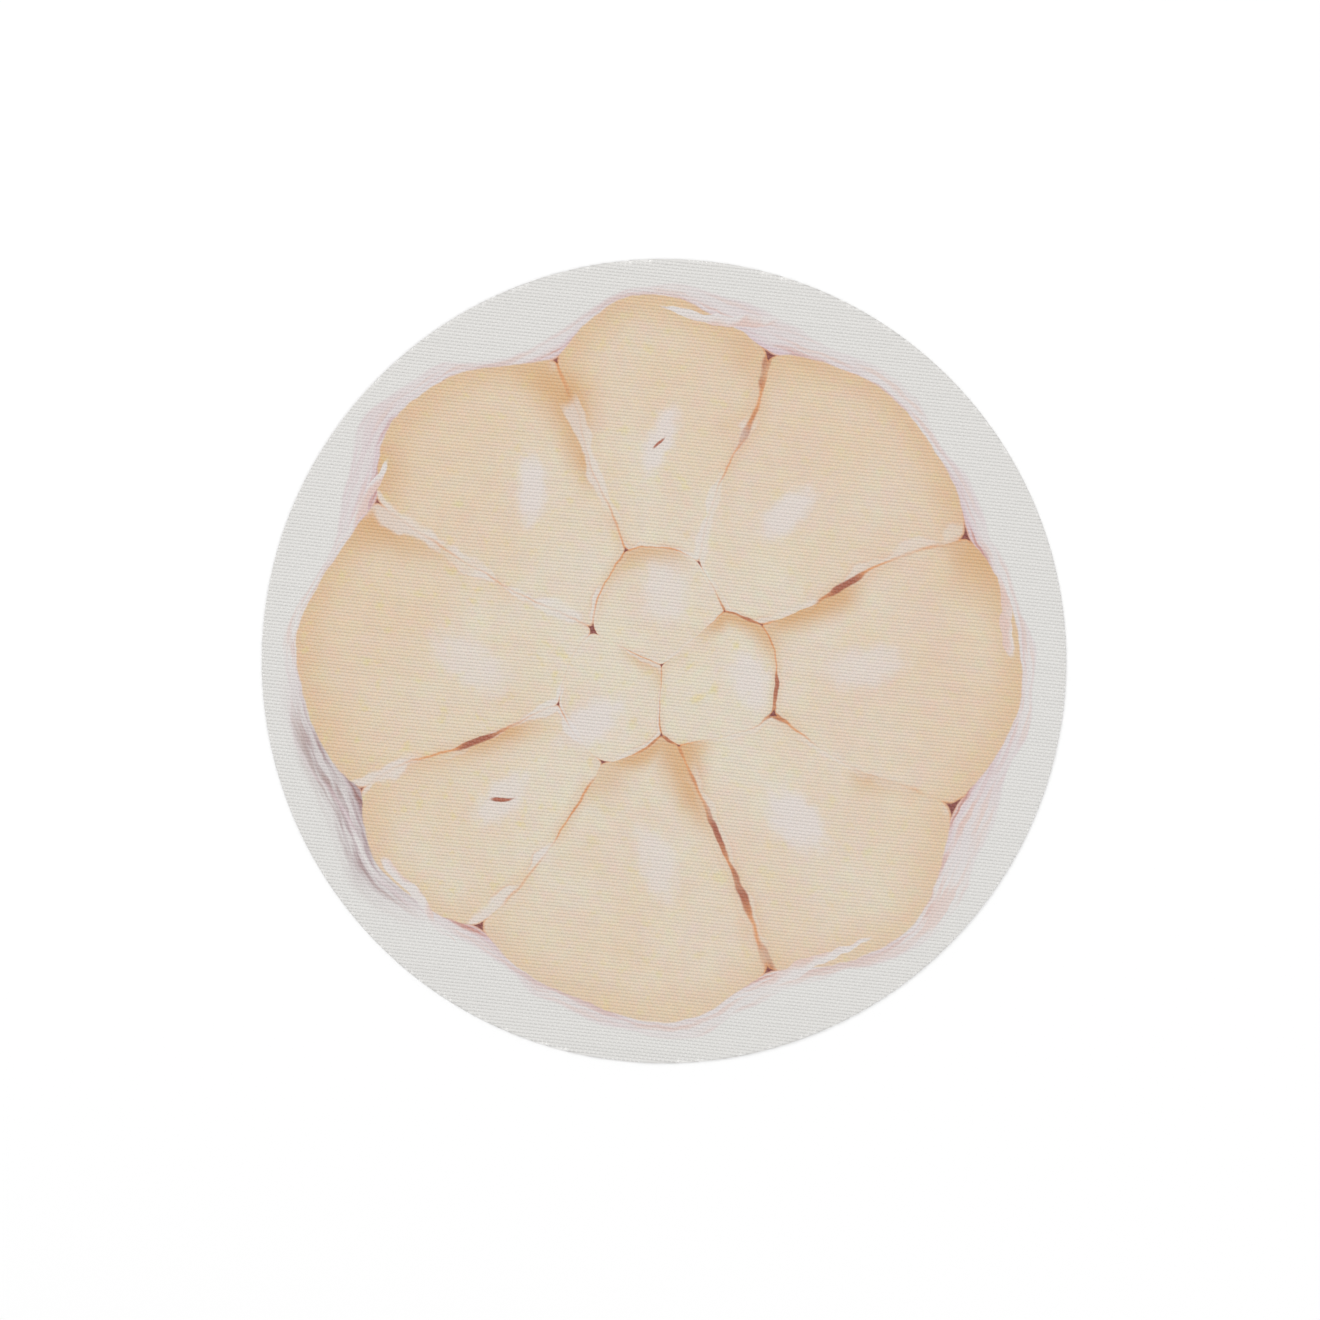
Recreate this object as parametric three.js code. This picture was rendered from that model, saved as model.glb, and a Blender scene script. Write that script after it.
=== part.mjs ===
// A round woven table mat, lying flat on the table.
//
// Millimetres, +Z up. The origin is the middle of the underside, where the mat
// touches the table. Side to side is X, and +Y points away from the diner.
//
// The mat is one cut disc of plain-woven, plastic-coated yarn with no hem, lining
// or binding. Its yarns are fused where they cross, so the cloth is one piece and
// is modelled here as one thin solid: the space that the woven yarns take up.

import * as THREE from "three";

// Driving dimensions
const MAT_DIAMETER = 380;
const WARP_THICKNESS = 0.5; // the finer yarns, which run away from the diner
const WEFT_THICKNESS = 0.6; // the broader yarns, which run from side to side
const EDGE_ROUNDING = 0.3; // the heat of the cut melts the corners of the edge

// How finely the round shapes are faceted
const RIM_FACETS = 180;
const ARC_DIVISIONS = 1; // a path gives each arc two facets for every division

// Colour and surface of the bare yarn
const YARN_COLOUR = 0xdddbd7;
const YARN_ROUGHNESS = 0.55;

// Half of the mat's section, from the middle of the underside out to the edge and
// back to the middle of the top. Spun about Z, it gives the disc.
function matSection(radius, thickness, rounding) {
  const section = new THREE.Path();
  section.moveTo(0, 0);
  section.lineTo(radius - rounding, 0);
  section.absarc(radius - rounding, rounding, rounding, -Math.PI / 2, 0);
  section.lineTo(radius, thickness - rounding);
  section.absarc(radius - rounding, thickness - rounding, rounding, 0, Math.PI / 2);
  section.lineTo(0, thickness);
  return section.getPoints(ARC_DIVISIONS);
}

// The whole disc of cloth. Two yarns lie on each other wherever they cross, so its
// thickness is the sum of theirs. LatheGeometry spins about Y, and the turn about X
// brings that axis upright.
function makeWovenMat() {
  const thickness = WARP_THICKNESS + WEFT_THICKNESS;
  const section = matSection(MAT_DIAMETER / 2, thickness, EDGE_ROUNDING);
  const geometry = new THREE.LatheGeometry(section, RIM_FACETS);
  geometry.rotateX(Math.PI / 2);
  const material = new THREE.MeshStandardMaterial({
    color: YARN_COLOUR,
    roughness: YARN_ROUGHNESS,
    metalness: 0,
  });
  const mat = new THREE.Mesh(geometry, material);
  mat.name = "woven_mat";
  return mat;
}

const placemat = new THREE.Group();
placemat.add(makeWovenMat());

export default placemat;
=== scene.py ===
"""A round table mat of plain-woven coated yarn, printed with a garlic bulb cut across.

Everything is in metres in the row frame: +Z is up, the origin is the middle of the
underside, X runs from side to side and +Y points away from the diner. The weave is
laid out in its own frame, which is the row frame turned by the weave's tilt.
"""

import logging
import math
from dataclasses import dataclass, field
from enum import Enum

import bmesh
import bpy
import numpy as np
from mathutils import Matrix, Vector


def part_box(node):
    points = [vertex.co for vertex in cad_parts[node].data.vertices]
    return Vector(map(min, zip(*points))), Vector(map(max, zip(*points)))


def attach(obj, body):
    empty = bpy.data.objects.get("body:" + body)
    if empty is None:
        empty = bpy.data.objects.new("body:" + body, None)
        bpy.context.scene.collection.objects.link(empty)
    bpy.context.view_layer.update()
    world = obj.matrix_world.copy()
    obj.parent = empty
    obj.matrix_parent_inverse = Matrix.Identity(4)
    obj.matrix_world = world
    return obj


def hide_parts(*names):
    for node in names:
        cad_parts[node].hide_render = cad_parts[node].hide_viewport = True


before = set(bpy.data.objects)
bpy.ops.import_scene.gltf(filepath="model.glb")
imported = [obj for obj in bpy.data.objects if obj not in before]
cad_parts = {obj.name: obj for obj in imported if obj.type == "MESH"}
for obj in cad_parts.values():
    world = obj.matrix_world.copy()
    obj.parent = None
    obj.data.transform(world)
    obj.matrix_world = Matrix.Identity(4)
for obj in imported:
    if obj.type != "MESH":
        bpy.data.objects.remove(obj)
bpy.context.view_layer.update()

MM = 0.001
CAD_NODE = "woven_mat"
BAKE_MAP = "OFBake"
TONE_ATTRIBUTE = "yarn_tone"

log = logging.getLogger("table_mat")

Colour = tuple[float, float, float]
Socket = bpy.types.NodeSocket
Value = Socket | float | tuple


# ---------------------------------------------------------------- colour and nodes


def linear(red: float, green: float, blue: float) -> Colour:
    """Turns a display colour of 0 to 255 into the linear light that shaders use.

    Args:
        red: red, from 0 to 255.
        green: green, from 0 to 255.
        blue: blue, from 0 to 255.

    Returns:
        The colour in linear light, each part from 0 to 1.
    """
    def part(level: float) -> float:
        """Returns one part of the colour in linear light."""
        share = level / 255
        return share / 12.92 if share <= 0.04045 else ((share + 0.055) / 1.055) ** 2.4

    return part(red), part(green), part(blue)


# What the bare yarn looks like on the table. Inks are given as they look beside it.
BARE_LOOK = linear(222, 220, 216)


def ink(red: float, green: float, blue: float) -> Colour:
    """Returns the share of light that an ink lets through on white yarn.

    Args:
        red: red of the printed cloth as it looks beside the bare cloth, 0 to 255.
        green: its green.
        blue: its blue.

    Returns:
        The ink's linear colour, to multiply the bare yarn by.
    """
    look = linear(red, green, blue)
    return tuple(min(1.0, seen / bare) for seen, bare in zip(look, BARE_LOOK))


@dataclass
class Wiring:
    """Adds shader nodes to one tree, a short call for each."""

    tree: bpy.types.NodeTree

    def node(self, kind: str, **settings: object) -> bpy.types.Node:
        """Adds a node and sets its properties.

        Args:
            kind: the node's type name without the ShaderNode in front.
            settings: its properties by name.

        Returns:
            The new node.
        """
        made = self.tree.nodes.new("ShaderNode" + kind)
        for name, value in settings.items():
            setattr(made, name, value)
        return made

    def feed(self, socket: Socket, value: Value) -> None:
        """Links a socket to another, or sets its own value.

        Args:
            socket: the input to feed.
            value: an output socket, a number, or a vector or colour of three numbers.
        """
        if isinstance(value, bpy.types.NodeSocket):
            self.tree.links.new(value, socket)
        elif socket.type == "RGBA":
            socket.default_value = (*value, 1.0)
        else:
            socket.default_value = value

    def math(self, operation: str, *inputs: Value, clamp: bool = False) -> Socket:
        """Adds a Math node.

        Args:
            operation: the node's operation.
            inputs: its one to three inputs.
            clamp: whether the result stays within 0 to 1.

        Returns:
            The result.
        """
        made = self.node("Math", operation=operation, use_clamp=clamp)
        for socket, value in zip(made.inputs, inputs):
            self.feed(socket, value)
        return made.outputs[0]

    def times(self, *values: Value) -> Socket:
        """Returns the product of two or more numbers."""
        product = values[0]
        for value in values[1:]:
            product = self.math("MULTIPLY", product, value)
        return product

    def vector(self, operation: str, *inputs: Value) -> Socket:
        """Adds a Vector Math node.

        Args:
            operation: the node's operation.
            inputs: its vector inputs, or a vector and a number for SCALE.

        Returns:
            The vector or, for LENGTH and DOT_PRODUCT, the number.
        """
        made = self.node("VectorMath", operation=operation)
        self.feed(made.inputs[0], inputs[0])
        if operation == "SCALE":
            self.feed(made.inputs["Scale"], inputs[1])
        elif len(inputs) > 1:
            self.feed(made.inputs[1], inputs[1])
        return made.outputs[1 if operation in ("LENGTH", "DOT_PRODUCT") else 0]

    def ramp(self, value: Value, low: Value, high: Value) -> Socket:
        """Eases a number from 0 at low to 1 at high, or down where low is above high.

        Args:
            value: the number.
            low: where the result is 0.
            high: where the result is 1.

        Returns:
            The eased number.
        """
        made = self.node("MapRange", interpolation_type="SMOOTHSTEP")
        falling = not isinstance(low, Socket) and not isinstance(high, Socket) and low > high
        self.feed(made.inputs["Value"], value)
        self.feed(made.inputs["From Min"], high if falling else low)
        self.feed(made.inputs["From Max"], low if falling else high)
        made.inputs["To Min"].default_value = 1.0 if falling else 0.0
        made.inputs["To Max"].default_value = 0.0 if falling else 1.0
        return made.outputs[0]

    def noise(self, place: Socket, wavelength: float, detail: float, shift: float) -> Socket:
        """Adds cloudy noise from about 0.2 to 0.8.

        Args:
            place: where it is read.
            wavelength: how far apart its clouds are, in the units of place.
            detail: how many finer layers it has.
            shift: a number that makes each noise different from the others.

        Returns:
            The noise.
        """
        made = self.node("TexNoise", noise_dimensions="4D")
        self.feed(made.inputs["Vector"], place)
        made.inputs["W"].default_value = shift
        made.inputs["Scale"].default_value = 1.0 / wavelength
        made.inputs["Detail"].default_value = detail
        return made.outputs["Fac"]

    def clouds(self, place: Socket, wavelength: float, detail: float) -> Socket:
        """Returns noise as a vector, each part from about 0.2 to 0.8."""
        made = self.node("TexNoise")
        self.feed(made.inputs["Vector"], place)
        made.inputs["Scale"].default_value = 1.0 / wavelength
        made.inputs["Detail"].default_value = detail
        return made.outputs["Color"]

    def local(self, place: Socket, centre: tuple[float, float], reach: tuple[float, float],
              turn: float) -> Socket:
        """Returns a place as seen from an ellipse, whose edge is 1 away from its middle.

        Args:
            place: the place on the mat.
            centre: the middle of the ellipse.
            reach: half its length and half its width.
            turn: the angle from +X to its length, in degrees.

        Returns:
            The place along and across the ellipse.
        """
        made = self.node("Mapping", vector_type="TEXTURE")
        self.feed(made.inputs["Vector"], place)
        made.inputs["Location"].default_value = (*centre, 0.0)
        made.inputs["Rotation"].default_value = (0.0, 0.0, math.radians(turn))
        made.inputs["Scale"].default_value = (*reach, 1.0)
        return made.outputs[0]

    def mix(self, share: Value, first: Value, second: Value) -> Socket:
        """Mixes two colours.

        Args:
            share: how much of the second there is, from 0 to 1.
            first: the first colour.
            second: the second colour.

        Returns:
            The mixed colour.
        """
        made = self.node("Mix", data_type="RGBA")
        self.feed(made.inputs[0], share)
        self.feed(made.inputs[6], first)
        self.feed(made.inputs[7], second)
        return made.outputs[2]

    def multiply(self, first: Value, second: Value) -> Socket:
        """Returns one colour multiplied by another."""
        made = self.node("Mix", data_type="RGBA", blend_type="MULTIPLY")
        made.inputs[0].default_value = 1.0
        self.feed(made.inputs[6], first)
        self.feed(made.inputs[7], second)
        return made.outputs[2]


# ---------------------------------------------------------------- the printed picture


@dataclass(frozen=True)
class Germ:
    """The pale germ in the middle of a cut clove, with or without a dark slit.

    Args:
        place: where it is from the clove's middle, outwards and to the left, in mm.
        reach: half its length and half its width, in mm.
        turn: the angle from the clove's outward line to its length, in degrees.
        strength: how pale it is, from 0 to 1.
        slit: half the length and half the width of its slit, in mm, 0 for none.
        slit_turn: the angle from its own length to the slit's, in degrees.
    """

    place: tuple[float, float]
    reach: tuple[float, float]
    turn: float
    strength: float
    slit: tuple[float, float]
    slit_turn: float


@dataclass(frozen=True)
class Clove:
    """One cut clove in the picture: an ellipse that its neighbours crowd in on.

    Args:
        bearing: the direction of its middle from the mat's, in degrees from +X.
        out: how far its middle is from the mat's, in mm.
        reach: half its length, which points outwards, and half its width, in mm.
        twist: how far its length is turned away from pointing outwards, in degrees.
        warmth: how yellow its flesh is, from 0 for pink to 1 for yellow.
        skinned: how much of the white skin beside its seams shows, from 0 to 1.
        germ: its germ.
    """

    bearing: float
    out: float
    reach: tuple[float, float]
    twist: float
    warmth: float
    skinned: float
    germ: Germ

    @property
    def centre(self) -> tuple[float, float]:
        """Returns its middle on the mat, in mm."""
        return self.spot((0.0, 0.0))

    def spot(self, place: tuple[float, float]) -> tuple[float, float]:
        """Finds a place on the mat.

        Args:
            place: how far it is outwards and to the left of the clove's middle, in mm.

        Returns:
            The place, in mm.
        """
        angle = math.radians(self.bearing)
        out, left = self.out + place[0], place[1]
        return (out * math.cos(angle) - left * math.sin(angle),
                out * math.sin(angle) + left * math.cos(angle))


@dataclass(frozen=True)
class Shred:
    """A loose shred of papery skin, narrower at one end.

    Args:
        centre: its middle on the mat, in mm.
        reach: half its length and half its width, in mm.
        turn: the angle from +X to its length, in degrees.
        taper: how much narrower it grows along its length, from 0 to 1.
    """

    centre: tuple[float, float]
    reach: tuple[float, float]
    turn: float
    taper: float


@dataclass(frozen=True)
class Inks:
    """The inks of the picture, as the printed cloth looks beside the bare cloth."""

    pale_flesh: Colour = ink(226, 210, 191)
    flesh: Colour = ink(224, 200, 173)
    tan_flesh: Colour = ink(218, 186, 148)
    pink_flesh: Colour = ink(224, 199, 183)
    lemon_flesh: Colour = ink(220, 205, 148)
    germ: Colour = ink(222, 213, 208)
    slit: Colour = ink(166, 84, 50)
    seam: Colour = ink(218, 152, 98)
    deep_seam: Colour = ink(162, 84, 56)
    hollow: Colour = ink(134, 66, 56)
    seam_shade: Colour = ink(212, 168, 118)
    skin: Colour = ink(224, 216, 213)
    skin_pink: Colour = ink(220, 195, 186)
    skin_lilac: Colour = ink(212, 191, 195)
    plum: Colour = ink(112, 70, 77)
    rust: Colour = ink(186, 106, 84)
    bare: Colour = (1.0, 1.0, 1.0)


@dataclass(frozen=True)
class GarlicBulb:
    """A made-up bulb: rings of cloves whose differences are drawn at random.

    Args:
        counts: how many cloves stand in the outer ring and how many inside it.
        outs: how far the middles of each ring's cloves are from the mat's, in mm.
        reaches: half the length and half the width of each ring's usual clove, in mm.
        unevenness: how much the widths of a ring's cloves differ, to either side.
        slitted: the share of the germs that have a slit.
        shred_count: how many loose shreds of skin lie along the outline.
        shred_outs: the least and the most that they are from the mat's middle, in mm.
        root_bearing: the direction of the dark, dry skin, in degrees from +X.
        seed: what the differences are drawn from.
    """

    counts: tuple[int, int] = (8, 3)
    outs: tuple[float, float] = (92.0, 31.0)
    reaches: tuple[tuple[float, float], ...] = ((76.0, 77.0), (46.0, 43.0))
    unevenness: float = 0.18
    slitted: float = 0.4
    shred_count: int = 5
    shred_outs: tuple[float, float] = (159.0, 165.0)
    root_bearing: float = 205.0
    seed: int = 7

    def cloves(self) -> tuple[Clove, ...]:
        """Draws the cloves, ring by ring.

        Returns:
            The cloves, which are the same ones at each call.
        """
        dice = np.random.default_rng(self.seed)
        made = []
        for count, out, (length, width) in zip(self.counts, self.outs, self.reaches):
            shares = dice.uniform(1 - self.unevenness, 1 + self.unevenness, count)
            shares *= count / shares.sum()
            bearings = dice.uniform(0, 360) + 360 / count * (np.cumsum(shares) - shares / 2)
            for bearing, share in zip(bearings, shares):
                reach = (length * dice.uniform(0.97, 1.03), width * share)
                made.append(Clove(bearing, out, reach, dice.uniform(-9, 9), dice.uniform(0.25, 0.9),
                                  dice.uniform(0.1, 0.9), self.germ(dice)))
        return tuple(made)

    def germ(self, dice: np.random.Generator) -> Germ:
        """Draws a clove's germ, with a slit or without one.

        Args:
            dice: what its differences are drawn from.

        Returns:
            The germ.
        """
        place = (dice.uniform(-2, 14), dice.uniform(-6, 6))
        reach = (dice.uniform(12, 20), dice.uniform(6, 11))
        slit = (dice.uniform(2.5, 6.5), 0.8) if dice.uniform() < self.slitted else (0.0, 0.0)
        return Germ(place, reach, dice.uniform(-40, 40), dice.uniform(0.5, 0.85), slit,
                    dice.uniform(-90, 90))

    def shreds(self) -> tuple[Shred, ...]:
        """Draws loose shreds of skin that lie along the bulb's outline.

        Returns:
            The shreds, evenly spread round the bulb.
        """
        dice = np.random.default_rng(self.seed)
        made = []
        spread = 360 / self.shred_count * np.arange(self.shred_count)
        for bearing in dice.uniform(0, 360) + spread:
            angle = math.radians(bearing)
            out = dice.uniform(*self.shred_outs)
            centre = (out * math.cos(angle), out * math.sin(angle))
            reach = (dice.uniform(16, 30), dice.uniform(1.8, 3.2))
            turn = bearing + dice.uniform(80, 100)
            made.append(Shred(centre, reach, turn, dice.uniform(0.3, 0.7)))
        return tuple(made)


@dataclass(frozen=True)
class GarlicPicture:
    """The picture of a made-up garlic bulb cut across, worked out from a few ellipses.

    The cloves share the bulb between them as crowded ellipses do: each place belongs to
    the clove whose middle is nearest, counted in that clove's own reach. Places in this
    class are in mm on the mat.

    Args:
        bulb: the bulb that it shows.
        inks: the inks.
        usual_reach: how far a clove usually reaches from its middle, in mm.
        corner_hardness: how sharp the corners are where three cloves meet.
        hull_hardness: how closely the skin follows the valleys between the cloves.
    """

    bulb: GarlicBulb = GarlicBulb()
    inks: Inks = Inks()
    usual_reach: float = 70.0
    corner_hardness: float = 22.0
    hull_hardness: float = 7.0

    def build(self) -> bpy.types.NodeTree:
        """Makes the picture as a node group, from a place in metres to an ink.

        Returns:
            The node group, with the input Place and the output Ink.
        """
        tree = bpy.data.node_groups.new("garlic_picture", "ShaderNodeTree")
        tree.interface.new_socket("Place", in_out="INPUT", socket_type="NodeSocketVector")
        tree.interface.new_socket("Ink", in_out="OUTPUT", socket_type="NodeSocketColor")
        wire = Wiring(tree)
        entry = tree.nodes.new("NodeGroupInput")
        leaving = tree.nodes.new("NodeGroupOutput")
        flat = wire.vector("MULTIPLY", entry.outputs[0], (1 / MM, 1 / MM, 0.0))
        place = self.wandering(wire, flat)
        cells = Cells(wire, self, place)
        flesh = self.flesh(wire, place, cells)
        flesh = self.germ_spots(wire, flesh, place)
        flesh = self.seams(wire, flesh, place, cells)
        skin = self.outer_skin(wire, place, cells)
        shown = wire.mix(cells.inside, skin, flesh)
        shown = self.hollows(wire, shown, place, cells)
        shown = self.loose_shreds(wire, shown, place)
        tree.links.new(shown, leaving.inputs[0])
        return tree

    def wandering(self, wire: Wiring, flat: Socket) -> Socket:
        """Bends the picture a little, so that no outline is a perfect ellipse.

        Args:
            wire: the group's wiring.
            flat: the place on the mat.

        Returns:
            The place in the picture.
        """
        broad = wire.vector("SCALE", wire.vector(
            "SUBTRACT", wire.clouds(flat, 70.0, 0.5), (0.5, 0.5, 0.5)), 23.0)
        fine = wire.vector("SCALE", wire.vector(
            "SUBTRACT", wire.clouds(flat, 9.0, 2.0), (0.5, 0.5, 0.5)), 2.4)
        bent = wire.vector("ADD", wire.vector("ADD", flat, broad), fine)
        return wire.vector("MULTIPLY", bent, (1.0, 1.0, 0.0))

    def flesh(self, wire: Wiring, place: Socket, cells: "Cells") -> Socket:
        """Colours the cut flesh: pale in the middle of the bulb and tan at its rim.

        Args:
            wire: the group's wiring.
            place: the place in the picture.
            cells: how the cloves share the bulb.

        Returns:
            The ink.
        """
        inks = self.inks
        cloud = wire.noise(place, 40.0, 2.0, 3.0)
        outwards = wire.ramp(wire.vector("LENGTH", place), 20.0, 150.0)
        outwards = wire.times(outwards, wire.math(
            "MULTIPLY_ADD", wire.ramp(cells.height, -140.0, 40.0), 0.45, 0.55))
        depth = wire.math("ADD", outwards, wire.math("MULTIPLY_ADD", cloud, 1.8, -0.98),
                          clamp=True)
        colour = wire.mix(depth, inks.pale_flesh, inks.flesh)
        pink = wire.math("MULTIPLY_ADD", cells.warmth, -0.9, wire.math(
            "MULTIPLY_ADD", wire.noise(place, 26.0, 1.0, 5.0), 2.0, -0.45), clamp=True)
        colour = wire.mix(wire.times(pink, 0.6), colour, inks.pink_flesh)
        rim = wire.times(wire.ramp(cells.nearest, 0.74, 1.0), outwards)
        colour = wire.mix(wire.times(rim, 0.80), colour, inks.tan_flesh)
        specks = wire.times(wire.ramp(wire.noise(place, 7.0, 2.0, 8.0), 0.56, 0.72), cells.warmth)
        colour = wire.mix(wire.times(specks, 0.65), colour, inks.lemon_flesh)
        mottle = wire.vector("ADD", wire.vector(
            "SCALE", wire.clouds(place, 5.0, 2.0), 0.14), (0.93, 0.93, 0.93))
        return wire.vector("MULTIPLY", colour, mottle)

    def germ_spots(self, wire: Wiring, colour: Socket, place: Socket) -> Socket:
        """Prints the pale germs and their slits over the flesh.

        Args:
            wire: the group's wiring.
            colour: the flesh.
            place: the place in the picture.

        Returns:
            The ink.
        """
        ragged = wire.math("MULTIPLY_ADD", wire.noise(place, 6.0, 2.0, 11.0), 1.1, -0.55)
        pale: Value = 0.0
        dark: Value = 0.0
        for clove in self.bulb.cloves():
            germ = clove.germ
            centre = clove.spot(germ.place)
            turn = clove.bearing + germ.turn
            away = wire.vector("LENGTH", wire.local(place, centre, germ.reach, turn))
            spot = wire.times(wire.ramp(wire.math("ADD", away, ragged), 1.45, 0.6), germ.strength)
            pale = wire.math("MAXIMUM", pale, spot)
            if germ.slit[0]:
                away = wire.vector("LENGTH", wire.local(
                    place, centre, germ.slit, turn + germ.slit_turn))
                dark = wire.math("MAXIMUM", dark, wire.ramp(
                    wire.math("ADD", away, ragged), 1.35, 0.6))
        colour = wire.mix(pale, colour, self.inks.germ)
        return wire.mix(wire.times(dark, 0.95), colour, self.inks.slit)

    def seams(self, wire: Wiring, colour: Socket, place: Socket, cells: "Cells") -> Socket:
        """Prints the seams between the cloves, with shade, white skin and a hairline.

        Args:
            wire: the group's wiring.
            colour: the flesh.
            place: the place in the picture.
            cells: how the cloves share the bulb.

        Returns:
            The ink.
        """
        inks = self.inks
        off = cells.seam_distance
        gaping = wire.ramp(wire.noise(place, 30.0, 2.0, 17.0), 0.50, 0.68)
        clear = wire.ramp(wire.noise(place, 33.0, 1.0, 23.0), 0.40, 0.58)
        half = wire.math("MULTIPLY_ADD", gaping, 0.9, 0.05)
        shade = wire.times(wire.ramp(off, 14.0, 0.0), cells.above,
                           wire.ramp(wire.noise(place, 60.0, 1.0, 29.0), 0.40, 0.56))
        colour = wire.mix(shade, colour, inks.seam_shade)
        glow = wire.times(wire.ramp(off, 5.0, 0.0), clear)
        colour = wire.mix(wire.times(glow, 0.45), colour, inks.tan_flesh)
        reach = wire.math("MULTIPLY_ADD", wire.noise(place, 20.0, 2.0, 61.0), 13.0, -4.6)
        skinned = wire.times(cells.skinned, wire.ramp(wire.noise(place, 27.0, 1.0, 67.0), 0.36, 0.54))
        strip = wire.times(wire.ramp(wire.math("SUBTRACT", off, reach), 0.7, -0.7), skinned)
        colour = wire.mix(strip, colour, inks.skin)
        hem = wire.ramp(wire.math("ABSOLUTE", wire.math("SUBTRACT", off, reach)), 0.7, 0.0)
        colour = wire.mix(wire.times(hem, skinned, clear, 0.45), colour, inks.seam)
        line = wire.ramp(wire.math("SUBTRACT", off, half), 0.65, -0.1)
        line_ink = wire.mix(gaping, inks.seam, inks.deep_seam)
        return wire.mix(wire.times(line, wire.math("MULTIPLY_ADD", clear, 0.85, 0.1)),
                        colour, line_ink)

    def hollows(self, wire: Wiring, colour: Socket, place: Socket, cells: "Cells") -> Socket:
        """Prints the dark hollows where three cloves meet, or two meet the skin.

        Args:
            wire: the group's wiring.
            colour: the flesh and the skin.
            place: the place in the picture.
            cells: how the cloves share the bulb.

        Returns:
            The ink.
        """
        uneven = wire.math("MULTIPLY_ADD", wire.noise(place, 22.0, 2.0, 31.0), 0.24, -0.12)
        share = wire.math("ADD", cells.share, uneven)
        colour = wire.mix(wire.times(wire.ramp(share, 0.47, 0.40), 0.6), colour, self.inks.seam)
        return wire.mix(wire.ramp(share, 0.415, 0.375), colour, self.inks.hollow)

    def outer_skin(self, wire: Wiring, place: Socket, cells: "Cells") -> Socket:
        """Prints the papery skin round the bulb, in streaks that follow its outline.

        Args:
            wire: the group's wiring.
            place: the place in the picture.
            cells: how the cloves share the bulb.

        Returns:
            The ink, which is none away from the bulb.
        """
        inks = self.inks
        off = cells.hull_distance
        bearing = wire.vector("NORMALIZE", place)
        height = wire.node("CombineXYZ")
        wire.feed(height.inputs["Z"], wire.math("MULTIPLY", off, 0.16))
        streaked = wire.vector("ADD", wire.vector("SCALE", bearing, 2.2), height.outputs[0])
        streak = wire.noise(streaked, 0.34, 3.0, 41.0)
        colour = wire.mix(wire.ramp(streak, 0.40, 0.62), inks.skin_pink, inks.skin)
        tint = wire.noise(bearing, 0.5, 2.0, 43.0)
        lilac = wire.ramp(wire.math("ADD", tint, wire.times(streak, 0.5)), 0.70, 0.88)
        colour = wire.mix(wire.times(lilac, 0.9), colour, inks.skin_lilac)
        near = wire.times(wire.ramp(cells.outline_distance, 3.2, 0.0), wire.ramp(tint, 0.40, 0.62))
        colour = wire.mix(near, colour, inks.skin_lilac)
        valley = wire.ramp(off, 0.5, -4.0)
        close = wire.times(wire.ramp(cells.outline_distance, 5.0, 0.0), 0.55)
        reddened = wire.times(wire.math("MAXIMUM", valley, close), wire.ramp(streak, 0.52, 0.36))
        colour = wire.mix(wire.times(reddened, 0.65), colour, inks.rust)
        root = math.radians(self.bulb.root_bearing)
        low = wire.ramp(wire.vector("DOT_PRODUCT", bearing, (math.cos(root), math.sin(root), 0.0)),
                        0.90, 0.985)
        smear = wire.times(low, wire.ramp(streak, 0.92, 0.34))
        colour = wire.mix(wire.times(smear, 0.62), colour, inks.plum)
        width = wire.math("MULTIPLY_ADD", wire.noise(bearing, 0.5, 2.0, 47.0), 35.0, -12.0)
        beyond = wire.math("SUBTRACT", off, wire.math("MAXIMUM", width, 2.0))
        cover = wire.math("ADD", wire.times(wire.ramp(beyond, 0.9, -0.9), 0.55),
                          wire.times(wire.ramp(beyond, 0.0, -16.0), 0.45))
        hem = wire.times(wire.ramp(wire.math("ABSOLUTE", beyond), 1.6, 0.0),
                         wire.ramp(tint, 0.36, 0.60))
        colour = wire.mix(wire.times(hem, 0.85), colour, inks.skin_lilac)
        faint = wire.math("MULTIPLY_ADD", wire.ramp(streak, 0.64, 0.42), 0.5, 0.5)
        kept = wire.math("MAXIMUM", wire.times(valley, 0.95), wire.times(cover, faint))
        kept = wire.math("MAXIMUM", kept, wire.times(low, wire.ramp(streak, 0.80, 0.36),
                                                     wire.ramp(off, 14.0, 2.0)))
        return wire.mix(kept, inks.bare, colour)

    def loose_shreds(self, wire: Wiring, colour: Socket, place: Socket) -> Socket:
        """Prints the loose shreds of skin over the bulb's outline.

        Args:
            wire: the group's wiring.
            colour: the picture so far.
            place: the place in the picture.

        Returns:
            The ink.
        """
        ragged = wire.vector("ADD", place, wire.vector("SCALE", wire.vector(
            "SUBTRACT", wire.clouds(place, 13.0, 1.5), (0.5, 0.5, 0.5)), 7.0))
        blotch = wire.noise(ragged, 14.0, 1.0, 71.0)
        for shred in self.bulb.shreds():
            parts = wire.node("SeparateXYZ")
            wire.feed(parts.inputs[0], wire.local(ragged, shred.centre, shred.reach, shred.turn))
            along, side = parts.outputs[0], parts.outputs[1]
            narrowing = wire.math("MULTIPLY_ADD", along, -shred.taper, 1.0)
            across = wire.math("DIVIDE", side, wire.math("MAXIMUM", narrowing, 0.1))
            away = wire.math("ADD", wire.math("POWER", wire.math("ABSOLUTE", along), 3.0),
                             wire.math("POWER", wire.math("ABSOLUTE", across), 2.0))
            darker = wire.ramp(wire.math("MULTIPLY_ADD", side, 0.14, blotch), 0.40, 0.66)
            shown = wire.mix(darker, self.inks.skin, self.inks.skin_pink)
            colour = wire.mix(wire.times(wire.ramp(away, 1.2, 0.75), 0.92), colour, shown)
        return colour


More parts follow.
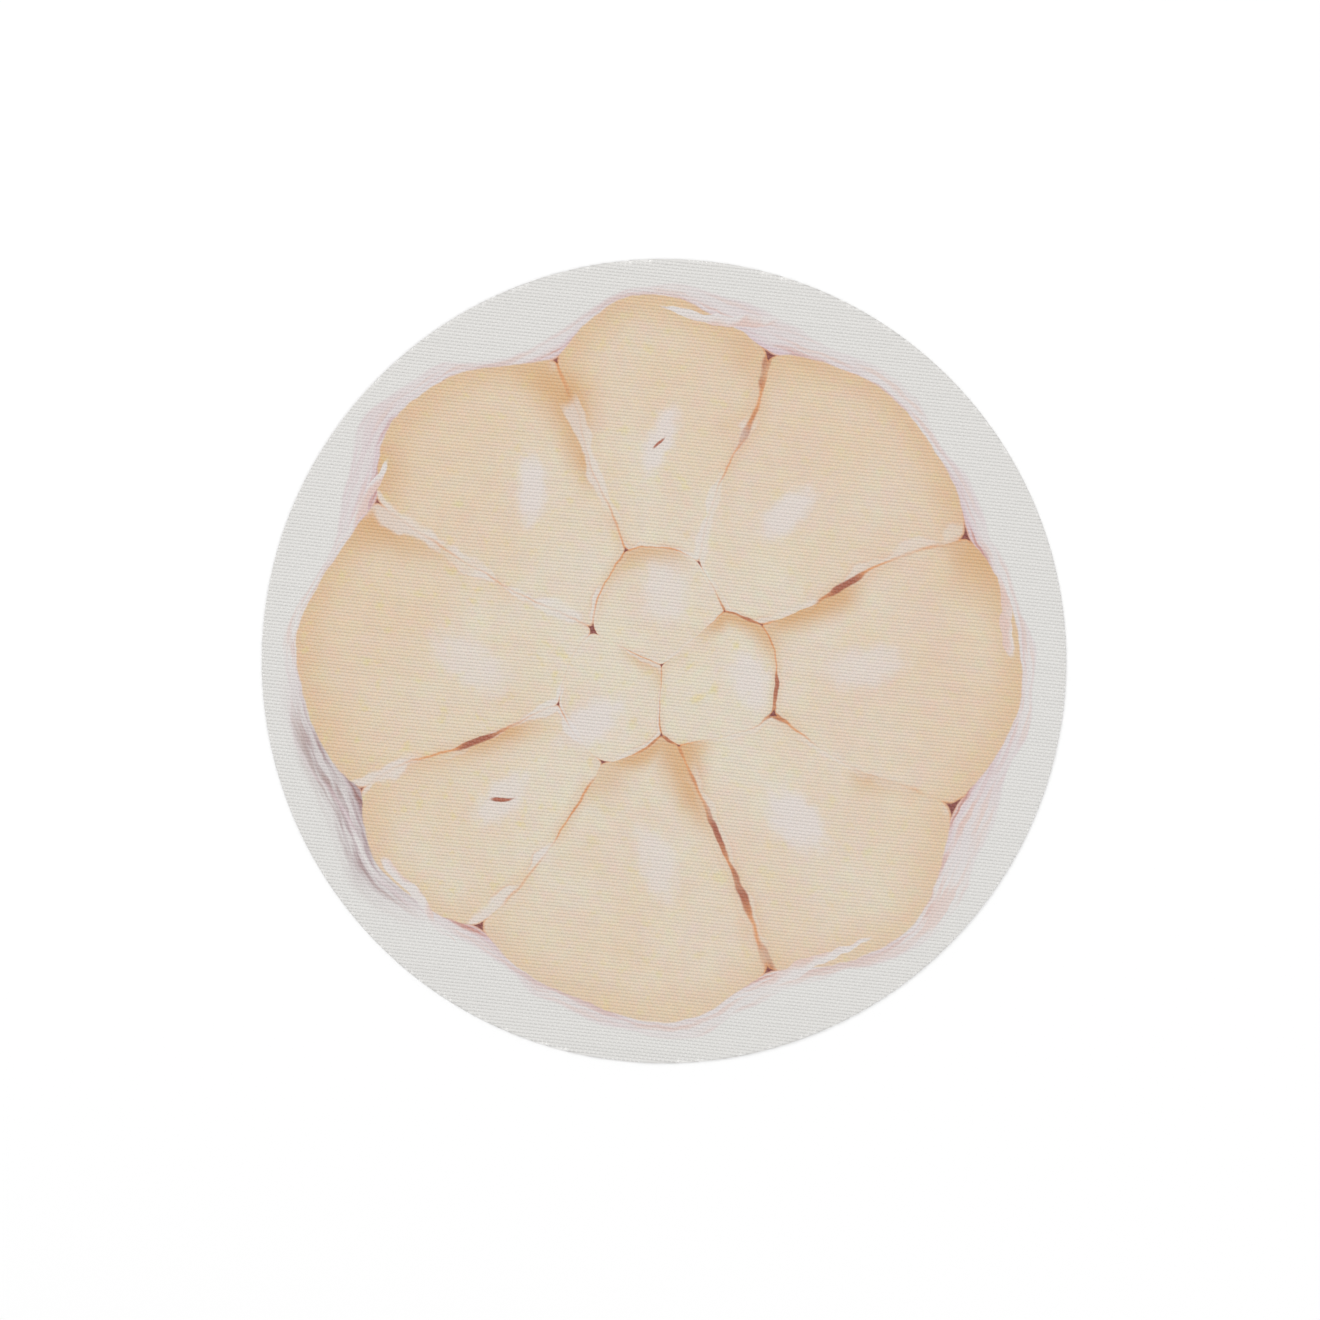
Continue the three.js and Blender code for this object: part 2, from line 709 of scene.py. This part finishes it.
class Cells:
    """How the cloves of the picture share the bulb between them.

    Attributes:
        nearest: how far the nearest clove's middle is, 1 at that clove's own edge.
        seam_distance: how far the seam with the next clove is, in mm.
        share: how far the nearest clove, or the ground off the bulb, has the place to
            itself: a half at a seam and a third where three of them meet.
        warmth: the warmth of the clove that the place belongs to.
        skinned: how much white skin shows beside that clove's seams.
        height: how far the place is from the bulb's middle, away from the diner, in mm.
        above: 1 on the side of that clove away from the diner, and 0 on the near side.
        inside: 1 on the cloves and 0 off them.
        outline_distance: how far off the cloves the place is, in mm.
        hull_distance: how far it is off a soft outline that spans the valleys.
    """

    def __init__(self, wire: Wiring, picture: GarlicPicture, place: Socket) -> None:
        """Wires the sharing out, one clove after another.

        Args:
            wire: the group's wiring.
            picture: the picture, for its cloves and its softness.
            place: the place in the picture.
        """
        ground = wire.math("MULTIPLY_ADD", wire.ramp(
            wire.vector("LENGTH", place), 90.0, 140.0), -0.6, 1.6)
        base = math.exp(-picture.corner_hardness)
        hull_base = math.exp(-picture.hull_hardness)
        nearest: Value = 9.0
        second: Value = 9.0
        warmth: Value = 0.5
        skinned: Value = 0.5
        middle: Value = 0.0
        total = wire.math("POWER", base, ground)
        hull: Value = 0.0
        for clove in picture.bulb.cloves():
            away = wire.vector("LENGTH", wire.local(
                place, clove.centre, clove.reach, clove.bearing + clove.twist))
            closer = wire.math("LESS_THAN", away, nearest)
            warmth = self.switch(wire, closer, warmth, clove.warmth)
            skinned = self.switch(wire, closer, skinned, clove.skinned)
            middle = self.switch(wire, closer, middle, clove.centre[1])
            second = wire.math("MINIMUM", second, wire.math("MAXIMUM", nearest, away))
            nearest = wire.math("MINIMUM", nearest, away)
            total = wire.math("ADD", total, wire.math("POWER", base, away))
            hull = wire.math("ADD", hull, wire.math("POWER", hull_base, away))
        reach = picture.usual_reach
        parts = wire.node("SeparateXYZ")
        wire.feed(parts.inputs[0], place)
        self.nearest = nearest
        self.warmth = warmth
        self.skinned = skinned
        self.height = parts.outputs["Y"]
        self.above = wire.ramp(wire.math("SUBTRACT", self.height, middle), 0.0, 30.0)
        self.seam_distance = wire.times(wire.math("SUBTRACT", second, nearest), reach / 2)
        self.share = wire.math("DIVIDE", wire.math("POWER", base, wire.math(
            "MINIMUM", nearest, ground)), total)
        self.inside = wire.ramp(wire.math("SUBTRACT", nearest, ground), 0.007, -0.007)
        self.outline_distance = wire.times(wire.math("SUBTRACT", nearest, 1.0), reach)
        softened = wire.math("DIVIDE", wire.math("LOGARITHM", hull, math.e),
                             -picture.hull_hardness)
        self.hull_distance = wire.times(wire.math("SUBTRACT", softened, 1.0), reach)

    @staticmethod
    def switch(wire: Wiring, chosen: Socket, before: Value, after: float) -> Socket:
        """Returns the number after where chosen is 1, and the one before elsewhere."""
        made = wire.node("Mix", data_type="FLOAT")
        wire.feed(made.inputs[0], chosen)
        wire.feed(made.inputs[2], before)
        wire.feed(made.inputs[3], after)
        return made.outputs[0]


# ---------------------------------------------------------------- the woven cloth


class Run(Enum):
    """Which way a yarn runs through the cloth."""

    WARP = "warp"
    WEFT = "weft"


# What a yarn needs to either side of its middle: half its width and a little to spare.
HALF_WIDTH = 0.6


@dataclass(frozen=True)
class Yarn:
    """One kind of coated yarn, as it lies in the cloth.

    Args:
        run: which way it runs.
        pitch: from the middle of one yarn to the next.
        width: its width between the crossings, where it presses on its neighbours.
        thickness: its thickness.
        ink_take: how much of the picture its crowns take up, from 0 to 1.
        flattened: whether it is pressed flat on top, or rounds off to its sides.
        steps: where its three rings to a repeat are, in crossings from a crown's middle.
        levels: how high it is at each of them, 1 on a crown and -1 at the bottom.
    """

    run: Run
    pitch: float
    width: float
    thickness: float
    ink_take: float
    flattened: bool
    steps: tuple[float, float, float]
    levels: tuple[float, float, float]


@dataclass(frozen=True)
class CoatedYarnFinish:
    """Matt, slightly uneven plastic coating over spun yarn, printed from above, with painted light
    that lightens it down between the yarns.

    Args:
        bare: the coating's own linear colour, on the crowns.
        inner: a lighter colour painted down between the yarns, as painted light against the shade
            that falls there.
        roughness: the least and the most roughness.
        bump: how strong the fine unevenness is.
        grain: how far apart its lumps are.
        grain_shade: how much the lumps differ in shade.
        tone_shade: how much whole yarns differ in shade.
    """

    bare: Colour = (0.722, 0.7105, 0.689)
    inner: Colour = (0.96, 0.947, 0.926)
    roughness: tuple[float, float] = (0.42, 0.62)
    bump: float = 0.25
    grain: float = 0.35 * MM
    grain_shade: float = 0.05
    tone_shade: float = 0.025

    def material(self, yarn: Yarn, top: float, picture: bpy.types.NodeTree) -> bpy.types.Material:
        """Makes the finish of one kind of yarn.

        Args:
            yarn: the yarn that wears it.
            top: the height of the cloth's upper face.
            picture: the printed picture's node group.

        Returns:
            The material.
        """
        made = bpy.data.materials.new(f"printed_{yarn.run.value}_yarn")
        made.use_nodes = True
        wire = Wiring(made.node_tree)
        shader = made.node_tree.nodes["Principled BSDF"]
        place = wire.node("TexCoord").outputs["Object"]
        group = wire.node("Group", node_tree=picture)
        wire.feed(group.inputs["Place"], place)
        parts = wire.node("SeparateXYZ")
        wire.feed(parts.inputs[0], place)
        height = parts.outputs["Z"]
        tone = wire.node("Attribute", attribute_name=TONE_ATTRIBUTE).outputs["Fac"]
        grain = wire.noise(place, self.grain, 2.0, 2.0)
        darkest = 1 - (self.grain_shade + self.tone_shade) / 2
        shade = wire.math("MULTIPLY_ADD", grain, self.grain_shade, wire.math(
            "MULTIPLY_ADD", tone, self.tone_shade, darkest))
        # Painted light: the colour is made lighter the further a point lies from the crowns, towards
        # the cloth's middle height, to offset the shade between the yarns.
        depth = wire.math("ABSOLUTE", wire.math("SUBTRACT", height, top / 2))
        inner = wire.ramp(depth, 0.46 * top, 0.12 * top)
        bare = wire.vector("SCALE", wire.mix(inner, self.bare, self.inner), shade)
        crown = wire.ramp(height, 0.90 * top, 0.99 * top)
        upper = wire.ramp(height, 0.40 * top, 0.62 * top)
        taken = wire.times(upper, wire.math("MULTIPLY_ADD", crown, yarn.ink_take - 1.0, 1.0))
        inked = wire.mix(taken, (1.0, 1.0, 1.0), group.outputs["Ink"])
        wire.feed(shader.inputs["Base Color"], wire.multiply(bare, inked))
        low, high = self.roughness
        wire.feed(shader.inputs["Roughness"], wire.math("MULTIPLY_ADD", grain, high - low, low))
        bump = wire.node("Bump")
        bump.inputs["Strength"].default_value = self.bump
        bump.inputs["Distance"].default_value = 0.1 * MM
        wire.feed(bump.inputs["Height"], grain)
        wire.feed(shader.inputs["Normal"], bump.outputs[0])
        return made


@dataclass
class YarnBand:
    """A band of neighbouring yarns, each a closed tube that ends at the mat's rim.

    A yarn runs over one crossing yarn and under the next, and its tube has three rings to
    each such repeat. Before the yarns are bent, a ring's number is its X and a yarn's its Y.

    Args:
        name: the piece's name.
        yarn: the yarn.
        crossed: the yarn that it runs over and under.
        numbers: the yarns' numbers, 0 in the middle of the mat.
        radius: the mat's radius.
        top: the height of the cloth's upper face.
        tilt: the angle from the row frame to the weave's, in radians.
        seed: what the small differences between its yarns are drawn from.
        sides: how many sides a tube has.
        section: a straight tube's radius, in yarns.
        crown_swell: how much wider a yarn is on a crown than half-way down.
        variation: how much the widths of its yarns differ, to either side.
        melted_end: how much of its section is left where the cut melted it.
        rim_level: how much of its rise or dip is left there.
        rim_gap: the least room from a woven ring to the rim, in crossings.
        bow: how far the weave is bowed at most.
        wobble: how far a yarn strays from its line at most.
    """

    name: str
    yarn: Yarn
    crossed: Yarn
    numbers: range
    radius: float
    top: float
    tilt: float
    seed: int
    sides: int = 4
    section: float = 0.25
    crown_swell: float = 0.07
    variation: float = 0.015
    melted_end: float = 0.82
    rim_level: float = 0.6
    rim_gap: float = 0.25
    bow: float = 0.7 * MM
    wobble: float = 0.02 * MM

    def turned(self, number: np.ndarray | int) -> np.ndarray | int:
        """Returns 0 for a yarn whose crowns are at even crossings and 1 for the others."""
        return (number + (self.yarn.run is Run.WARP)) % 2

    def along(self, ring: np.ndarray, number: np.ndarray | int) -> np.ndarray:
        """Works out where rings lie along their yarns.

        Args:
            ring: the rings' numbers.
            number: the numbers of their yarns.

        Returns:
            The distance of each from the middle of the mat.
        """
        pitch = self.crossed.pitch
        steps = np.array(self.yarn.steps)
        return (2 * (ring // 3) + steps[ring % 3] + self.turned(number)) * pitch

    def height(self, along: np.ndarray, number: np.ndarray) -> np.ndarray:
        """Works out how high yarns are.

        Args:
            along: distances from the middle of the mat.
            number: the numbers of the yarns.

        Returns:
            1 on a crown, -1 at the bottom, and between them on the way.
        """
        pitch = self.crossed.pitch
        start = self.turned(number) * pitch
        knots = np.array(self.yarn.steps) * pitch
        return np.interp(along - start, knots, self.yarn.levels, period=2 * pitch)

    def ends(self, number: int) -> tuple[int, int]:
        """Finds a yarn's first and last ring, which are moved to the rim.

        Args:
            number: the yarn's number.

        Returns:
            The numbers of the two rings.
        """
        side = abs(number) * self.yarn.pitch + HALF_WIDTH * self.yarn.width
        reach = math.sqrt(self.radius**2 - side**2) - self.rim_gap * self.crossed.pitch
        most = int(2 * self.radius / self.crossed.pitch)
        rings = np.arange(-most, most)
        inner = rings[np.abs(self.along(rings, number)) < reach]
        return int(inner[0]) - 1, int(inner[-1]) + 1

    def tube(self, shape: bmesh.types.BMesh, number: int) -> None:
        """Adds one straight yarn, cut into its rings.

        Args:
            shape: the band's mesh.
            number: the yarn's number.
        """
        first, last = self.ends(number)
        flattened = self.yarn.flattened
        lying = (Matrix.Translation(((first + last) / 2, number, 0.0))
                 @ Matrix.Rotation(math.pi / 2, 4, "Y")
                 @ Matrix.Rotation(math.pi / 4 * flattened, 4, "Z"))
        reach = self.section * math.sqrt(1 + flattened)
        made = bmesh.ops.create_cone(
            shape, cap_ends=True, segments=self.sides, radius1=reach, radius2=reach,
            depth=last - first, matrix=lying)
        edges = dict.fromkeys(edge for vert in made["verts"] for edge in vert.link_edges)
        lengthwise = [edge for edge in edges
                      if abs(edge.verts[0].co.x - edge.verts[1].co.x) > self.section]
        bmesh.ops.subdivide_edges(shape, edges=lengthwise, cuts=last - first - 1)

    def build(self) -> bpy.types.Object:
        """Makes the band's piece.

        Returns:
            The object, at the origin, with its place in its mesh.
        """
        shape = bmesh.new()
        for number in self.numbers:
            self.tube(shape, number)
        mesh = bpy.data.meshes.new(self.name)
        shape.to_mesh(mesh)
        shape.free()
        self.weave(mesh)
        mesh.transform(Matrix.Rotation(self.tilt, 4, "Z"))
        mesh.shade_smooth()
        piece = bpy.data.objects.new(self.name, mesh)
        bpy.context.scene.collection.objects.link(piece)
        return piece

    def weave(self, mesh: bpy.types.Mesh) -> None:
        """Bends the straight yarns over and under, out to the rim.

        Args:
            mesh: the band's mesh, which is changed.
        """
        points = np.empty(len(mesh.vertices) * 3, np.float32)
        mesh.vertices.foreach_get("co", points)
        points = points.reshape(-1, 3).astype(float)
        ring, number = np.rint(points[:, :2]).astype(int).T
        across = (points[:, 1] - number) / self.section
        up = points[:, 2] / self.section
        ends = np.array([self.ends(n) for n in self.numbers])[number - self.numbers.start]
        at_rim = (ring == ends[:, 0]) | (ring == ends[:, 1])

        dice = np.random.default_rng(self.seed)
        count = len(self.numbers)
        own = number - self.numbers.start
        tone = dice.uniform(0.0, 1.0, count)[own]
        swell = dice.uniform(1 - self.variation, 1 + self.variation, count)[own]
        phase = dice.uniform(0.0, math.tau, count)[own]
        wavelength = dice.uniform(24 * MM, 60 * MM, count)[own]

        along = self.along(ring, number)
        level = self.height(along, number)
        width = self.yarn.width * swell * (1 + self.crown_swell * level)
        slim = np.where(at_rim, self.melted_end, 1.0)
        side = number * self.yarn.pitch + across * slim * width / 2
        side += self.wobble * np.sin(math.tau * along / wavelength + phase)
        rim = np.sqrt(self.radius**2 - side**2)
        along = np.where(at_rim, np.sign(along) * rim, along)
        level = np.where(at_rim, self.rim_level * self.height(along, number), level)
        rise = (self.top - self.yarn.thickness) / 2
        lift = self.top / 2 + rise * level + up * slim * self.yarn.thickness / 2

        spot = np.stack([along, side] if self.yarn.run is Run.WEFT else [side, along], axis=1)
        self.bowed(spot)
        woven = np.column_stack([spot, lift]).astype(np.float32)
        mesh.vertices.foreach_set("co", woven.ravel())
        mesh.update()
        attribute = mesh.attributes.new(TONE_ATTRIBUTE, "FLOAT", "POINT")
        attribute.data.foreach_set("value", tone.astype(np.float32))
        self.lay_out(mesh, along, side)

    def bowed(self, spot: np.ndarray) -> None:
        """Bows the weave a little inside the rim, as cloth off a roll is.

        Args:
            spot: the points in the weave's frame, X and Y, which are changed.
        """
        slack = 1 - (spot**2).sum(axis=1) / self.radius**2
        drift = np.sin(spot[:, ::-1] * (5.2 / self.radius) + np.array([0.8, 2.1]))
        spot += self.bow * slack.clip(0, 1)[:, None] * drift

    def lay_out(self, mesh: bpy.types.Mesh, along: np.ndarray, side: np.ndarray) -> None:
        """Lays the band out flat for its baked picture, upper faces below lower ones.

        Args:
            mesh: the band's mesh, which is given the map.
            along: how far each point is along its yarn.
            side: how far it is to the side.
        """
        border = 0.01
        corner = np.empty(len(mesh.loops), np.int32)
        mesh.loops.foreach_get("vertex_index", corner)
        normals = np.empty(len(mesh.polygons) * 3, np.float32)
        mesh.polygons.foreach_get("normal", normals)
        totals = np.empty(len(mesh.polygons), np.int32)
        mesh.polygons.foreach_get("loop_total", totals)
        below = np.repeat(normals.reshape(-1, 3)[:, 2] < 0, totals)
        u = 0.5 + along[corner] / self.radius * (0.5 - border)
        v = (side[corner] - side.min()) / np.ptp(side) * (0.5 - 2 * border) + border
        layout = np.column_stack([u, v + 0.5 * below]).astype(np.float32)
        mesh.uv_layers.new(name=BAKE_MAP).uv.foreach_set("vector", layout.ravel())


@dataclass
class WovenMat:
    """The mat: one disc cut from plain-woven coated yarn.

    Args:
        radius: the mat's radius.
        top: the height of its upper face.
        warp: the yarns that run away from the diner.
        weft: the yarns that run from side to side, in rows.
        tilt: the angle from the row frame to the weave's, in radians.
        bands: how many pieces hold the warp, and how many the weft.
        shortest: half the length of the shortest yarn.
        finish: the finish of all its yarns.
    """

    radius: float
    top: float
    warp: Yarn = Yarn(Run.WARP, 1.03 * MM, 1.12 * MM, 0.5 * MM, 0.55, False,
                      (0.0, 0.82, 1.18), (1.0, -1.0, -1.0))
    weft: Yarn = Yarn(Run.WEFT, 1.56 * MM, 1.58 * MM, 0.6 * MM, 0.94, True,
                      (-0.4, 0.4, 1.0), (1.0, 1.0, -0.4))
    tilt: float = math.radians(-6.1)
    bands: int = 5
    shortest: float = 5 * MM
    finish: CoatedYarnFinish = field(default_factory=CoatedYarnFinish)

    def band_numbers(self, yarn: Yarn) -> list[range]:
        """Shares one kind of yarn out into bands that hold as much yarn as each other.

        Args:
            yarn: the yarn.

        Returns:
            The numbers of the yarns in each band.
        """
        furthest = math.sqrt(self.radius**2 - self.shortest**2) - HALF_WIDTH * yarn.width
        most = int(furthest / yarn.pitch)
        numbers = np.arange(-most, most + 1)
        lengths = np.sqrt(self.radius**2 - (numbers * yarn.pitch) ** 2)
        share = (np.cumsum(lengths) - lengths / 2) / lengths.sum()
        starts = [int(numbers[share >= band / self.bands][0]) for band in range(self.bands)]
        return [range(a, b) for a, b in zip(starts, [*starts[1:], most + 1])]

    def build(self) -> list[bpy.types.Object]:
        """Weaves and prints every band of yarn, and puts each on the CAD body.

        Returns:
            The pieces.
        """
        picture = GarlicPicture().build()
        pieces = []
        for yarn, crossed in ((self.weft, self.warp), (self.warp, self.weft)):
            material = self.finish.material(yarn, self.top, picture)
            for count, numbers in enumerate(self.band_numbers(yarn), start=1):
                name = f"{yarn.run.value}_yarns_{count}"
                band = YarnBand(name, yarn, crossed, numbers, self.radius, self.top, self.tilt,
                                seed=len(pieces))
                piece = band.build()
                piece.data.materials.append(material)
                self.declare(piece)
                pieces.append(piece)
                log.info("%s: %d yarns, %d faces", name, len(numbers), len(piece.data.polygons))
        return pieces

    def declare(self, piece: bpy.types.Object) -> None:
        """Puts a band on the CAD body and hides the CAD disc.

        Args:
            piece: the band's piece.
        """
        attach(piece, "root")
        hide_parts(CAD_NODE)


# ---------------------------------------------------------------- the studio


@dataclass(frozen=True)
class Lamp:
    """A large soft lamp.

    Args:
        name: its name.
        place: where it hangs.
        size: its side.
        power: its power in watts.
    """

    name: str
    place: tuple[float, float, float]
    size: float
    power: float


@dataclass
class Studio:
    """A pale floor, soft light all round and a camera straight overhead.

    Args:
        floor_side: the floor's side.
        floor_colour: the floor's linear colour.
        sky: the linear colour of the light from all round.
        sky_strength: how strong that light is.
        lamps: the soft lamps.
        lens: the camera's focal length, in mm.
        sensor: the width of its sensor, in mm.
        seen_width: how much of the floor it sees from side to side.
        aim: the place on the floor that it hangs over.
    """

    floor_side: float = 14.0
    floor_colour: Colour = (0.95, 0.95, 0.95)
    sky: Colour = (1.0, 1.0, 1.0)
    sky_strength: float = 0.80
    lamps: tuple[Lamp, ...] = (
        Lamp("window_light", (-1.5, 1.7, 2.2), 1.6, 24.0),
        Lamp("fill_light", (1.9, -1.2, 2.4), 2.2, 18.0),
    )
    lens: float = 85.0
    sensor: float = 36.0
    seen_width: float = 0.6239
    aim: tuple[float, float] = (-0.0019, 0.0005)

    def build(self) -> None:
        """Makes the floor, the lights and the camera."""
        self.lay_floor()
        self.hang_lamps()
        self.set_camera()

    def lay_floor(self) -> None:
        """Lays a plain pale floor."""
        shape = bmesh.new()
        bmesh.ops.create_grid(shape, x_segments=1, y_segments=1, size=self.floor_side / 2)
        mesh = bpy.data.meshes.new("floor")
        shape.to_mesh(mesh)
        shape.free()
        floor = bpy.data.objects.new("floor", mesh)
        bpy.context.scene.collection.objects.link(floor)
        paint = bpy.data.materials.new("pale_floor")
        paint.use_nodes = True
        shader = paint.node_tree.nodes["Principled BSDF"]
        shader.inputs["Base Color"].default_value = (*self.floor_colour, 1.0)
        shader.inputs["Roughness"].default_value = 0.9
        shader.inputs["Specular IOR Level"].default_value = 0.1
        mesh.materials.append(paint)

    def hang_lamps(self) -> None:
        """Hangs the soft lamps and lights the sky evenly."""
        for lamp in self.lamps:
            light = bpy.data.lights.new(lamp.name, "AREA")
            light.shape = "SQUARE"
            light.size = lamp.size
            light.energy = lamp.power
            hung = bpy.data.objects.new(lamp.name, light)
            hung.location = lamp.place
            hung.rotation_euler = (-Vector(lamp.place)).to_track_quat("-Z", "Y").to_euler()
            bpy.context.scene.collection.objects.link(hung)
        world = bpy.data.worlds.new("studio")
        world.use_nodes = True
        sky = world.node_tree.nodes["Background"]
        sky.inputs["Color"].default_value = (*self.sky, 1.0)
        sky.inputs["Strength"].default_value = self.sky_strength
        bpy.context.scene.world = world
        bpy.context.scene.view_settings.view_transform = "Standard"
        bpy.context.scene.view_settings.look = "None"

    def set_camera(self) -> None:
        """Hangs the camera straight above the mat, looking down."""
        lens = bpy.data.cameras.new("camera")
        lens.sensor_width = self.sensor
        lens.lens = self.lens
        camera = bpy.data.objects.new("camera", lens)
        height = self.seen_width / self.sensor * self.lens
        camera.location = (*self.aim, height)
        bpy.context.scene.collection.objects.link(camera)
        bpy.context.scene.camera = camera


# ---------------------------------------------------------------- the whole scene


def main() -> None:
    """Builds the studio and the mat, and reports each piece."""
    logging.basicConfig(level=logging.INFO, format="%(name)s: %(message)s")
    lowest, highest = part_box(CAD_NODE)
    Studio().build()
    mat = WovenMat(radius=(highest.x - lowest.x) / 2, top=highest.z)
    pieces = mat.build()


if __name__ == "__main__":
    main()
